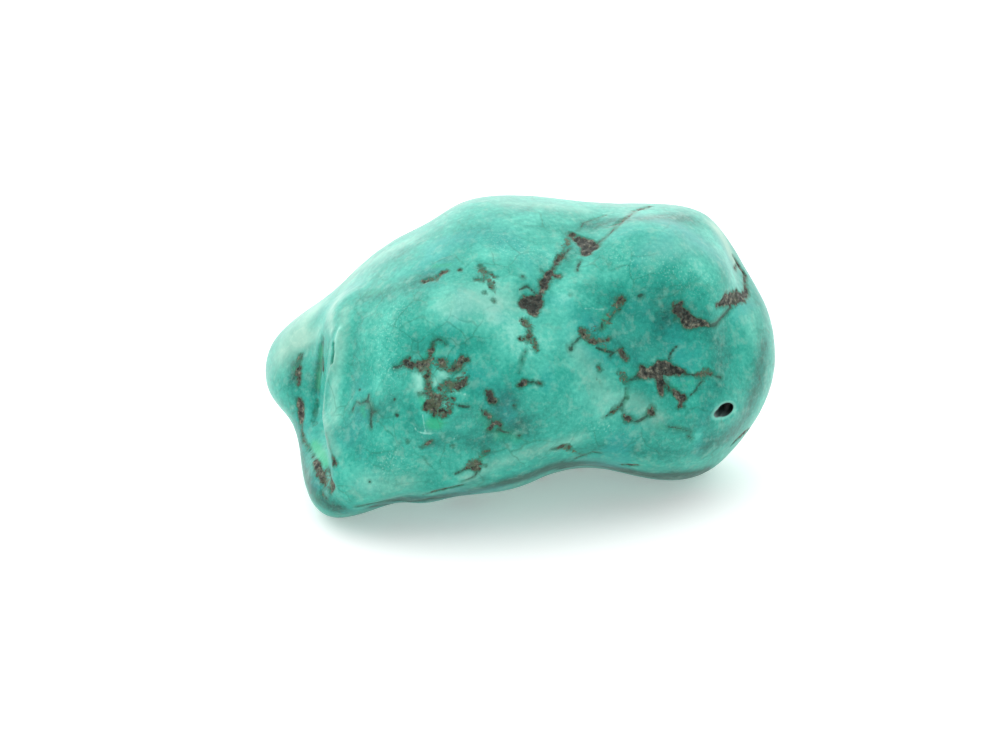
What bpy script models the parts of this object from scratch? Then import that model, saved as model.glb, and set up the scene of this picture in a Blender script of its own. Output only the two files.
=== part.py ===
"""A tumbled turquoise nugget, drilled once through its narrow end.

The stone is one solid. It is shaped in three axes of its own, in millimetres: across runs along
its length to the drilled end, up runs from its feet to its crown, and near points out of the
broad face that carries the drilled mouth. A geodesic ball is swollen to the stone's outline,
pressed out and in by named lumps and hollows, laid down on the flats worn on its underside,
and drilled.
"""

import math

import bmesh
import bpy
import numpy as np
from mathutils import Matrix, Vector

MM = 0.001

# How the shaping axes lie in the stone's resting frame (X along its length, Z up).
LEAN_DEG = 24.0  # the broad face looks this far above level
TURN_DEG = -11.0  # the face looks this far round towards the blunt end
SHAPING_ORIGIN = (-0.88, -1.37, 9.8)  # mm, where across = up = near = 0 comes to lie

# The outline of the broad face, point by point round the stone: (across, up, near) in mm.
OUTLINE = (
    (18.0, -0.2, -4.5),
    (17.5, 3.2, -4.5),
    (15.9, 6.1, -4.6),
    (14.8, 8.0, -4.7),
    (13.8, 9.5, -4.8),
    (12.7, 10.3, -4.8),
    (11.3, 10.6, -4.8),
    (8.5, 10.7, -4.8),
    (2.8, 11.0, -4.2),
    (0.0, 11.2, -4.0),
    (-2.1, 11.2, -3.8),
    (-4.2, 10.7, -3.6),
    (-6.2, 9.4, -3.8),
    (-8.4, 8.3, -4.2),
    (-11.6, 5.9, -5.0),
    (-14.6, 3.5, -6.0),
    (-17.3, 1.5, -6.7),
    (-18.1, -0.5, -6.9),
    (-18.1, -1.8, -6.5),
    (-17.9, -2.8, -5.9),
    (-16.7, -3.8, -4.8),
    (-15.9, -4.7, -3.3),
    (-15.5, -6.0, -1.6),
    (-15.1, -8.3, 0.0),
    (-14.5, -10.1, 1.0),
    (-13.5, -11.2, 1.5),
    (-12.1, -11.5, 1.6),
    (-10.8, -11.1, 1.5),
    (-9.5, -10.3, 1.2),
    (-7.8, -10.1, 1.0),
    (-5.5, -10.0, 0.8),
    (-3.1, -9.6, 0.4),
    (0.0, -9.1, -0.5),
    (2.1, -8.2, -1.3),
    (4.2, -7.7, -2.0),
    (6.3, -7.9, -2.7),
    (9.5, -8.8, -3.2),
    (11.6, -8.8, -3.5),
    (13.7, -7.9, -3.8),
    (15.9, -5.5, -4.2),
    (17.5, -2.8, -4.4),
)

# The plain oval that the outline fades to towards the middle of each face.
MEAN_LENGTH = 33.0
MEAN_HEIGHT = 20.0
NEAR_SWELL = 8.6  # from the middle of the stone to the broad face
FAR_SWELL = 8.2  # and to the back
YAW_SLOPE = -0.26  # the drilled end stands further back than the blunt end
FULLNESS = 2.4  # 2 is an ellipsoid; more is a blockier stone

# Lumps (height above 0) and hollows (below 0): (name, side, path, height, reach), in mm.
# side is 1 on the broad face and -1 on the back; a path is points of (across, up).
RELIEF = (
    ("end_ridge_top", 1, ((-11.9, 3.4), (-12.5, 0.8), (-13.1, -1.6)), 0.9, 1.2),
    ("end_ridge_foot", 1, ((-13.4, -3.2), (-13.2, -4.8), (-12.7, -6.6), (-12.3, -8.3)), 0.9, 1.1),
    ("end_hollow", 1, ((-15.4, 1.0), (-15.4, -1.5), (-14.8, -5.5)), -1.4, 1.8),
    ("end_groove", 1, ((-13.7, 0.6), (-14.1, -2.1), (-14.4, -3.8), (-13.9, -5.6), (-13.3, -7.6)), -1.2, 1.0),
    ("front_rib", 1, ((-10.0, 3.6), (-10.5, 0.5), (-10.9, -2.5)), 0.3, 1.2),
    ("face_ledge", 1, ((-7.2, 3.0), (-4.8, 3.1), (-2.8, 2.3), (-1.0, 0.7)), 0.5, 1.9),
    ("ledge_hollow", 1, ((-6.6, 0.4), (-4.6, 0.2)), -0.5, 1.7),
    ("belly", 1, ((-6.5, -1.5), (-7.0, -4.5)), 0.6, 3.5),
    ("lower_dish", 1, ((-6.5, -7.0), (-4.5, -6.4)), -0.6, 1.7),
    ("lower_lip", 1, ((-9.5, -9.6), (-6.0, -8.8), (-3.5, -7.8)), 0.5, 1.0),
    ("middle_valley", 1, ((-1.7, 1.0), (-1.4, -2.1), (-1.8, -5.2)), -0.5, 1.5),
    ("middle_bulge", 1, ((1.2, -2.0), (2.2, -3.4)), 0.7, 2.3),
    ("seam_valley", 1, ((5.0, 8.6), (2.7, 6.2), (0.8, 3.4)), -0.6, 2.2),
    ("upper_knob", 1, ((8.4, 7.4), (10.8, 6.0), (12.4, 5.0)), 1.3, 2.9),
    ("face_dent", 1, ((8.2, 2.2), (9.6, 1.6)), -1.1, 2.2),
    ("rim_groove", 1, ((14.6, 1.8), (14.5, -0.6)), -0.5, 1.4),
    ("rim_notch", 1, ((15.2, 6.4), (15.6, 4.6), (13.8, 2.8)), -0.6, 1.0),
    ("drilled_end_bulge", 1, ((10.5, -5.4), (13.0, -4.4)), 0.9, 2.8),
    ("back_hollow", -1, ((4.0, 2.0), (2.0, -2.0)), -1.4, 3.5),
    ("back_crown", -1, ((-5.0, 5.0), (-8.0, 3.0)), 0.8, 3.5),
    ("back_shoulder", -1, ((10.0, 3.0), (11.0, 0.0)), 0.9, 3.2),
    ("back_foot", -1, ((-2.0, -6.8), (4.0, -6.0)), 1.3, 3.2),
    ("back_groove", -1, ((-3.0, 7.0), (-1.0, 2.0), (-2.0, -4.0)), -0.7, 1.5),
    ("back_dimple", -1, ((-11.0, -1.5), (-10.0, -3.5)), -0.7, 1.8),
)

SKIN_CUTS = 19  # each edge of the starting icosahedron is cut this often: 8000 triangles
SETTLE_ROUNDS = 2  # gentle smoothing that ties the lumps into the skin
FLAT_BLEND = 0.3  # mm, over which the skin rounds into the flats it rests on
FACE_STEPS = 400  # tried from a face's middle to the outline, to raise a path onto the face

# The drilled hole: one straight bore across the narrow end.
BORE_RADIUS = 0.45
BORE_SIDES = 16
BORE_MOUTH = (14.05, -3.7, 2.1)  # on the bore's axis, by the mouth on the broad face
BORE_INWARD = (0.2, 0.28, -0.94)
BORE_LENGTH = 60.0  # of the cutter, which passes right through
MOUTH_ANGLE_DEG = 35.0  # edges that turn more than this stay sharp

TURQUOISE = (0.045, 0.42, 0.33, 1.0)


def clear_scene():
    for obj in list(bpy.data.objects):
        bpy.data.objects.remove(obj)


def closed_curve(angles, values):
    """A smooth closed curve through values at these angles: a periodic cubic spline.

    Returns a function of angle. The slopes come from the usual ring of tangent equations.
    """
    order = np.argsort(angles)
    at = np.asarray(angles)[order]
    value = np.asarray(values)[order]
    count = len(at)
    gap = np.diff(np.append(at, at[0] + 2 * math.pi))
    ring = np.zeros((count, count))
    right = np.zeros(count)
    for i in range(count):
        before, after = gap[i - 1], gap[i]
        following = (i + 1) % count
        ring[i, i - 1] += after
        ring[i, i] += 2 * (before + after)
        ring[i, following] += before
        rise_before = (value[i] - value[i - 1]) / before
        rise_after = (value[following] - value[i]) / after
        right[i] = 3 * (after * rise_before + before * rise_after)
    slope = np.linalg.solve(ring, right)

    def curve(angle):
        turned = np.mod(angle - at[0], 2 * math.pi) + at[0]
        i = np.clip(np.searchsorted(at, turned, side="right") - 1, 0, count - 1)
        following = (i + 1) % count
        t = (turned - at[i]) / gap[i]
        keep = (1 + 2 * t) * (1 - t) ** 2
        take = t * t * (3 - 2 * t)
        ease_in = t * (1 - t) ** 2 * gap[i]
        ease_out = t * t * (t - 1) * gap[i]
        return (
            keep * value[i]
            + take * value[following]
            + ease_in * slope[i]
            + ease_out * slope[following]
        )

    return curve


def outline_curves():
    """The outline's radius and its near offset, each as a function of the angle round the face."""
    points = np.array(OUTLINE)
    angles = np.mod(np.arctan2(points[:, 1], points[:, 0]), 2 * math.pi)
    radii = np.hypot(points[:, 0], points[:, 1])
    off_level = points[:, 2] - YAW_SLOPE * points[:, 0]
    return closed_curve(angles, radii), closed_curve(angles, off_level)


def oval_radius(angle):
    """Radius of the mean oval at this angle."""
    return 1 / np.hypot(2 * np.cos(angle) / MEAN_LENGTH, 2 * np.sin(angle) / MEAN_HEIGHT)


def swollen(angle, share, side, depth_share):
    """Points of the plain stone. share runs from 0 at a face's middle to 1 on the outline."""
    radius_at, offset_at = outline_curves()
    blend = share**2
    radius = share * (blend * radius_at(angle) + (1 - blend) * oval_radius(angle))
    across = radius * np.cos(angle)
    up = radius * np.sin(angle)
    swell = np.where(side > 0, NEAR_SWELL, FAR_SWELL)
    near = YAW_SLOPE * across + blend * offset_at(angle) + side * swell * depth_share
    return np.stack([across, up, near], axis=-1)


def swell_ball(directions):
    """Maps the ball's unit directions (across, up, near) to the plain stone."""
    angle = np.arctan2(directions[:, 1], directions[:, 0])
    flat = np.hypot(directions[:, 0], directions[:, 1])
    side = np.where(directions[:, 2] < 0, -1.0, 1.0)
    power = 2 / FULLNESS
    return swollen(angle, flat**power, side, np.abs(directions[:, 2]) ** power)


def on_face(side, path):
    """The points of a path of (across, up), raised onto the plain stone's skin on that side."""
    points = []
    for across, up in path:
        angle = math.atan2(up, across)
        shares = np.linspace(0, 1, FACE_STEPS)
        round_it = np.full_like(shares, angle)
        depth = (1 - shares**FULLNESS) ** (1 / FULLNESS)
        places = swollen(round_it, shares, np.full_like(shares, side), depth)
        reach = np.hypot(places[:, 0], places[:, 1])
        points.append(places[np.argmin(np.abs(reach - math.hypot(across, up)))])
    return np.array(points)


def distance_to_path(points, path):
    """Each point's distance to a chain of straight stretches."""
    nearest = np.linalg.norm(points - path[0], axis=1)
    for start, end in zip(path[:-1], path[1:]):
        along = end - start
        share = np.clip((points - start) @ along / (along @ along), 0, 1)
        foot = start + share[:, None] * along
        nearest = np.minimum(nearest, np.linalg.norm(points - foot, axis=1))
    return nearest


def relief_height(points):
    """How far the named lumps and hollows push each point of the plain stone out."""
    height = np.zeros(len(points))
    for _, side, path, peak, reach in RELIEF:
        away = distance_to_path(points, on_face(side, path))
        height += peak * np.exp(-((away / reach) ** 2))
    return height


def laid_down():
    """The matrix that carries the shaping axes, in mm, to the resting frame, in mm."""
    lean, turn = math.radians(LEAN_DEG), math.radians(TURN_DEG)
    across = Vector((1, 0, 0))
    up = Vector((0, math.sin(lean), math.cos(lean)))
    near = Vector((0, -math.cos(lean), math.sin(lean)))
    upright = Matrix((across, up, near)).transposed().to_4x4()
    return Matrix.Translation(SHAPING_ORIGIN) @ Matrix.Rotation(turn, 4, "Z") @ upright


def worn_flat(height):
    """Height above the surface after wear: 0 where the skin would reach below it."""
    blended = (height + FLAT_BLEND) ** 2 / (4 * FLAT_BLEND)
    worn = np.where(height > FLAT_BLEND, height, blended)
    return np.where(height < -FLAT_BLEND, 0.0, worn)


def positions(mesh):
    return np.array([vertex.co for vertex in mesh.verts])


def set_positions(mesh, places):
    for vertex, place in zip(mesh.verts, places):
        vertex.co = place


def shape_skin():
    """The undrilled stone as a bmesh in metres, resting on z = 0."""
    skin = bmesh.new()
    bmesh.ops.create_icosphere(skin, subdivisions=1, radius=1.0)
    bmesh.ops.subdivide_edges(skin, edges=skin.edges[:], cuts=SKIN_CUTS, use_grid_fill=True)
    ball = positions(skin)
    ball /= np.linalg.norm(ball, axis=1, keepdims=True)
    plain = swell_ball(ball)
    set_positions(skin, plain)
    skin.normal_update()
    outward = np.array([vertex.normal for vertex in skin.verts])
    set_positions(skin, plain + outward * relief_height(plain)[:, None])
    for _ in range(SETTLE_ROUNDS):
        bmesh.ops.smooth_vert(
            skin, verts=skin.verts, factor=0.5, use_axis_x=True, use_axis_y=True, use_axis_z=True
        )
    skin.transform(laid_down())
    resting = positions(skin)
    resting[:, 2] = worn_flat(resting[:, 2])
    set_positions(skin, resting * MM)
    skin.normal_update()
    return skin


def material():
    made = bpy.data.materials.new("turquoise")
    made.use_nodes = True
    surface = made.node_tree.nodes["Principled BSDF"]
    surface.inputs["Base Color"].default_value = TURQUOISE
    surface.inputs["Roughness"].default_value = 0.35
    surface.inputs["Metallic"].default_value = 0.0
    return made


def new_object(name, shape):
    mesh = bpy.data.meshes.new(name)
    shape.to_mesh(mesh)
    shape.free()
    obj = bpy.data.objects.new(name, mesh)
    bpy.context.scene.collection.objects.link(obj)
    return obj


def drill_bit():
    """The cutter for the bore, which isn't part of the stone."""
    bit = bmesh.new()
    bmesh.ops.create_cone(
        bit,
        cap_ends=True,
        segments=BORE_SIDES,
        radius1=BORE_RADIUS * MM,
        radius2=BORE_RADIUS * MM,
        depth=BORE_LENGTH * MM,
    )
    laid = laid_down()
    mouth = laid @ Vector(BORE_MOUTH)
    inward = (laid.to_3x3() @ Vector(BORE_INWARD)).normalized()
    placed = Matrix.Translation(mouth * MM) @ inward.to_track_quat("Z", "X").to_matrix().to_4x4()
    bit.transform(placed)
    obj = new_object("drill_bit", bit)
    obj.hide_render = True
    obj.display_type = "WIRE"
    return obj


def drill(obj):
    """Cuts the bore, and leaves its two mouths as sharp edges in the smooth skin."""
    bit = drill_bit()
    bore = obj.modifiers.new("bore", "BOOLEAN")
    bore.operation = "DIFFERENCE"
    bore.object = bit
    with bpy.context.temp_override(object=obj):
        bpy.ops.object.modifier_apply(modifier=bore.name)
    bpy.data.objects.remove(bit)
    obj.data.shade_smooth()
    obj.data.set_sharp_from_angle(angle=math.radians(MOUTH_ANGLE_DEG))


def nugget():
    obj = new_object("nugget", shape_skin())
    obj.data.materials.append(material())
    drill(obj)


clear_scene()
nugget()
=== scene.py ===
import math
import random

import bmesh
import bpy
import numpy as np
from mathutils import Matrix, Vector, noise
from mathutils.bvhtree import BVHTree


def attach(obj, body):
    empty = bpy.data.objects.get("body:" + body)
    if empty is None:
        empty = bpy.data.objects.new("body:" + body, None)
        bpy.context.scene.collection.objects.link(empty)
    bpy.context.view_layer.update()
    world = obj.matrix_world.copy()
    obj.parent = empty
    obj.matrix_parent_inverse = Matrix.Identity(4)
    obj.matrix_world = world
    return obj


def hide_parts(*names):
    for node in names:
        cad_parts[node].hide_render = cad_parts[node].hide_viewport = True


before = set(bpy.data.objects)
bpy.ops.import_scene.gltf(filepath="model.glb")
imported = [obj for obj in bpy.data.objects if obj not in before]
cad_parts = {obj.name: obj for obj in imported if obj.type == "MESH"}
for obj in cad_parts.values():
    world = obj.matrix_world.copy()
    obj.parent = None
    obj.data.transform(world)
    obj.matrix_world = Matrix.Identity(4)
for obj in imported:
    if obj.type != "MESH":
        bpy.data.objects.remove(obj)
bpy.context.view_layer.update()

# ---- How the stone lies, and where it is looked at from ----
# The nugget lies on the worn patches of its underside, its broad face leaning back a little, and
# is looked at square to that face. Places on it are in mm, in its own axes: across to the drilled
# end, up to the crown, and near, which points out of the broad face.
MM = 0.001
LEAN_DEG = 24.0
TURN_DEG = -11.0
STONE_MIDDLE = (-0.88, -1.37, 9.8)
EYE = Vector((-1.38, -1.38, 240.0))
VIEW_WIDTH = 69.0  # mm seen from side to side, at the stone's middle
FILM_WIDTH = 36.0
SEEN_FROM = 0.01  # metres; nothing nearer than this is seen
SEEN_TO = 10.0


def lie_down():
    """The matrix that carries the stone's own axes to the table's, both in mm."""
    lean = math.radians(LEAN_DEG)
    across = Vector((1, 0, 0))
    up = Vector((0, math.sin(lean), math.cos(lean)))
    near = Vector((0, -math.cos(lean), math.sin(lean)))
    upright = Matrix((across, up, near)).transposed().to_4x4()
    turned = Matrix.Rotation(math.radians(TURN_DEG), 4, "Z")
    return Matrix.Translation(STONE_MIDDLE) @ turned @ upright


lying = lie_down()
on_table = Matrix.Scale(MM, 4) @ lying

lens = bpy.data.cameras.new("eye")
lens.sensor_width = FILM_WIDTH
lens.lens = FILM_WIDTH * EYE.z / VIEW_WIDTH
lens.clip_start = SEEN_FROM
lens.clip_end = SEEN_TO
eye = bpy.data.objects.new("eye", lens)
bpy.context.scene.collection.objects.link(eye)
eye.matrix_world = Matrix.Translation(on_table @ EYE) @ lying.to_3x3().to_4x4()
bpy.context.scene.camera = eye

# ---- The tumbled skin ----
# A turquoise nugget is a lump of the mineral broken from its vein and tumbled with grit until its
# corners are round. The skin starts as an even net of small four-sided faces round the solid, and
# is relaxed until the solid's own flat facets are gone.
SAME_PLACE = 1e-6  # metres; corners of the solid nearer than this are one corner
SKIN_CUTS = 122  # the net's faces are about 0.14 mm wide
NET_HALF_SIZES = (17.0, 10.5, 9.0)
NET_SKEW = -0.26  # the drilled end stands further back than the blunt end
CAST_FROM = 3.0  # how far out the net starts, against its own size
RELAX_SHARE = 0.5  # of the way to its neighbours' middle, for each vertex in each round
RELAX_ROUNDS = 14

# The drilled hole's line, in the stone's axes.
BORE_RADIUS = 0.45
BORE_MOUTH = Vector((14.05, -3.7, 2.1))
BORE_INWARD = Vector((0.2, 0.28, -0.94)).normalized()
MOUTH_PATCH = 0.62  # the skin is stretched over the hole this far out from its line
PATCH_ROUNDS = 80


def places(mesh):
    return np.array([vertex.co for vertex in mesh.verts])


def relax(mesh, verts, rounds):
    for _ in range(rounds):
        bmesh.ops.smooth_vert(
            mesh, verts=verts, factor=RELAX_SHARE, use_axis_x=True, use_axis_y=True, use_axis_z=True
        )


def push_out(mesh, heights):
    """Moves each vertex along its normal by its height in mm."""
    mesh.normal_update()
    for vertex, height in zip(mesh.verts, heights):
        vertex.co += vertex.normal * height


def from_bore(points):
    """Each point's distance from the drilled hole's line."""
    away = points - np.array(BORE_MOUTH)
    along = away @ np.array(BORE_INWARD)
    return np.linalg.norm(away - along[:, None] * np.array(BORE_INWARD), axis=1)


solid = bmesh.new()
solid.from_mesh(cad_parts["nugget"].data)
bmesh.ops.remove_doubles(solid, verts=solid.verts, dist=SAME_PLACE)
solid.transform(on_table.inverted())
solid_tree = BVHTree.FromBMesh(solid)
solid.free()

skin = bmesh.new()
bmesh.ops.create_cube(skin, size=2.0)
bmesh.ops.subdivide_edges(skin, edges=skin.edges[:], cuts=SKIN_CUTS, use_grid_fill=True)
# The cube's cuts are spread evenly in angle, so that the faces of the net are much alike.
even = np.tan(places(skin) * math.pi / 4)
even /= np.linalg.norm(even, axis=1, keepdims=True)
net = even * NET_HALF_SIZES
net[:, 2] += NET_SKEW * net[:, 0]
for vertex, way in zip(skin.verts, net):
    outside = Vector(way) * CAST_FROM
    vertex.co = solid_tree.ray_cast(outside, -outside)[0]
over_hole = from_bore(places(skin)) < MOUTH_PATCH
relax(skin, [vertex for vertex, over in zip(skin.verts, over_hole) if over], PATCH_ROUNDS)
relax(skin, skin.verts, RELAX_ROUNDS)
skin.normal_update()
skin_tree = BVHTree.FromBMesh(skin)

# ---- The matrix ----
# Turquoise grows in cracks of a brown iron-stained rock, the matrix, and keeps scraps of it as
# veins, crumbly patches and dots. Each is laid on the skin as a stroke, seen from the face, whose
# points are (across, up, half width) in mm; a stroke of one point is a dot.
FAR_OFF = 2.5  # mm; no stroke is felt further away than this
NO_LENGTH = 1e-9

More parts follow.
